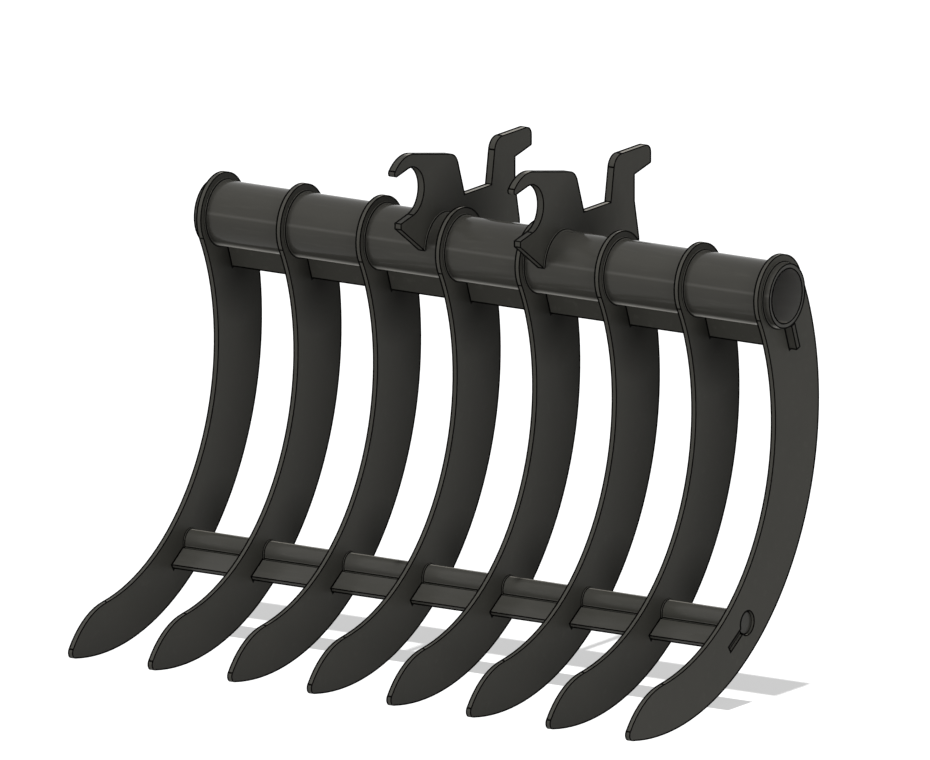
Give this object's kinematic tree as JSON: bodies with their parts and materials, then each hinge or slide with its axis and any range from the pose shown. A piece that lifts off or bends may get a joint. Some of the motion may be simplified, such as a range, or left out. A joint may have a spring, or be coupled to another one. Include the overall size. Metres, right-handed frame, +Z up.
{
  "type": "rake bucket",
  "caption": "Welded root rake for an excavator: curved flat-cut tines on a cross tube, tied near the points by round and flat bars, with hooked quick-hitch ears on top.",
  "frame": {"origin": "on the axis of the two hook seats, midway between the hitch ears", "axes": "+X along the tube, +Y to the back of the rake, away from the points, +Z up"},
  "size_m": [1.4474, 0.9285, 1.085],
  "materials": {
    "tube_steel": "dark olive-grey, satin",
    "plate_steel": "dark olive-grey, satin",
    "bar_steel": "dark olive-grey, satin",
    "weld_bead": "dark olive-grey, rippled"
  },
  "bodies": {
    "root": {"torque_tube": "tube_steel", "upper_flat_bar": "bar_steel", "lower_round_bar": "bar_steel", "lower_flat_bar": "bar_steel", "tine_1": "plate_steel", "tine_2": "plate_steel", "tine_3": "plate_steel", "tine_4": "plate_steel", "tine_5": "plate_steel", "tine_6": "plate_steel", "tine_7": "plate_steel", "tine_8": "plate_steel", "hitch_ear_left": "plate_steel", "hitch_ear_right": "plate_steel", "tine_weld_1": "weld_bead", "tine_weld_2": "weld_bead", "tine_weld_3": "weld_bead", "tine_weld_4": "weld_bead", "tine_weld_5": "weld_bead", "tine_weld_6": "weld_bead", "tine_weld_7": "weld_bead", "tine_weld_8": "weld_bead", "ear_weld_left": "weld_bead", "ear_weld_right": "weld_bead", "upper_flat_weld": "weld_bead", "lower_ring_weld": "weld_bead", "lower_flat_weld": "weld_bead"}
  },
  "joints": []
}
